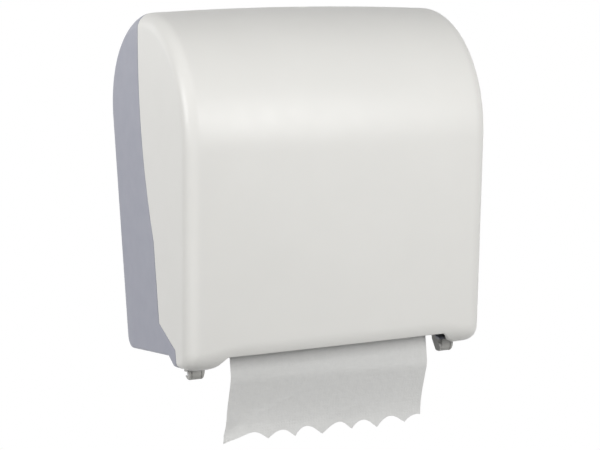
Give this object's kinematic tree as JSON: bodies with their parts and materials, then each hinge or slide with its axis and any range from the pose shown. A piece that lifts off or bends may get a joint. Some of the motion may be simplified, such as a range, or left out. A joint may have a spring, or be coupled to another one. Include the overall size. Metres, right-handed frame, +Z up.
{
  "type": "autocut towel dispenser",
  "caption": "Wall-hung paper towel dispenser with an arched hinged cover, a grey back housing, a towel roll on sprung arms and a cutting drum with a swinging scalloped blade.",
  "frame": {"origin": "centre of the four wall-screw holes, on the back face of the housing", "axes": "+X along the wall to the right as the user sees it, +Y into the wall, +Z up"},
  "size_m": [0.331, 0.2209, 0.44],
  "materials": {
    "pearl_shell": "satin pearl white moulded ABS",
    "grey_shell": "satin grey-lilac moulded ABS",
    "chassis": "fine-grained dark grey ABS",
    "acetal": "natural acetal",
    "knob": "green moulded ABS",
    "steel": "zinc plated",
    "spring_steel": "drawn wire",
    "blade_steel": "ground stainless steel",
    "rubber": "matt",
    "towel": "embossed paper towel",
    "cardboard": "wound board"
  },
  "bodies": {
    "base": {"housing": "grey_shell", "strike": "steel", "arm_pins": "steel", "side_plate_left": "chassis", "side_plate_right": "chassis", "tie_rod": "steel", "case_screws": "steel", "drum_bush_left": "acetal", "drum_bush_right": "acetal", "kick_pin": "steel", "front_guard": "chassis", "pinch_pivot_rod": "steel", "pawl_pin": "steel", "towel_sheet": "towel", "return_spring": "spring_steel"},
    "cover": {"cover": "pearl_shell", "hinge_pin_left": "steel", "hinge_pin_right": "steel"},
    "lock": {"lock_barrel": "pearl_shell", "lock_tongue": "steel"},
    "drum": {"drum_slotted_half": "acetal", "drum_plain_half": "acetal", "drum_screws": "steel", "grip_strips": "rubber", "drum_shaft": "steel", "feed_knob": "knob", "ratchet_wheel": "steel", "crank_disc": "steel"},
    "blade": {"blade_carrier": "chassis", "cutting_blade": "blade_steel", "blade_rivets": "steel"},
    "pinch_frame": {"pinch_carrier": "steel"},
    "pinch_roller": {"pinch_shaft": "steel", "pinch_sleeves": "rubber"},
    "pawl": {"pawl": "steel"},
    "roll": {"towel_roll": "towel", "roll_core": "cardboard"},
    "roll_arm_left": {"roll_arm_left": "chassis", "roll_hub_left": "acetal"},
    "roll_arm_right": {"roll_arm_right": "chassis", "roll_hub_right": "acetal"}
  },
  "joints": [
    {"name": "cover_hinge", "type": "hinge", "parent": "base", "child": "cover", "pos_m": [0, -0.132, -0.139], "axis": [1, 0, 0], "range_deg": [0, 100]},
    {"name": "lock_turn", "type": "hinge", "parent": "cover", "child": "lock", "pos_m": [0, -0.121, 0.22247], "axis": [0, 0.2, -0.9798], "range_deg": [0, 90]},
    {"name": "drum_spin", "type": "hinge", "parent": "base", "child": "drum", "pos_m": [0, -0.109, -0.072], "axis": [1, 0, 0], "continuous": true, "deforming": ["return_spring", "towel_sheet"]},
    {"name": "blade_swing", "type": "hinge", "parent": "drum", "child": "blade", "pos_m": [0, -0.11586, -0.0976], "axis": [-1, 0, 0], "range_deg": [0, 28], "stiffness_Nm_per_rad": 0.05},
    {"name": "pinch_lift", "type": "hinge", "parent": "base", "child": "pinch_frame", "pos_m": [0, -0.06, -0.0202], "axis": [-1, 0, 0], "range_deg": [0, 8], "stiffness_Nm_per_rad": 2, "springref_deg": -5.73},
    {"name": "pinch_spin", "type": "hinge", "parent": "pinch_frame", "child": "pinch_roller", "pos_m": [0, -0.109, -0.0232], "axis": [1, 0, 0], "continuous": true},
    {"name": "pawl_lift", "type": "hinge", "parent": "base", "child": "pawl", "pos_m": [0.126, -0.075, -0.066], "axis": [-1, 0, 0], "range_deg": [-5.5, 8.5], "stiffness_Nm_per_rad": 0.01, "springref_deg": -17.19},
    {"name": "roll_spin", "type": "hinge", "parent": "base", "child": "roll", "pos_m": [0, -0.11, 0.1067], "axis": [1, 0, 0], "continuous": true},
    {"name": "roll_arm_left_swing", "type": "hinge", "parent": "base", "child": "roll_arm_left", "pos_m": [-0.1175, -0.014, 0.108], "axis": [0, 0, -1], "range_deg": [0, 12], "stiffness_Nm_per_rad": 0.5, "springref_deg": -5.73},
    {"name": "roll_arm_right_swing", "type": "hinge", "parent": "base", "child": "roll_arm_right", "pos_m": [0.1175, -0.014, 0.108], "axis": [0, 0, 1], "range_deg": [0, 12], "stiffness_Nm_per_rad": 0.5, "springref_deg": -5.73}
  ],
  "couplings": [
    {"joint": "pinch_spin", "follows": "drum_spin", "ratio": -3},
    {"joint": "roll_spin", "follows": "drum_spin", "ratio": -0.37895}
  ]
}
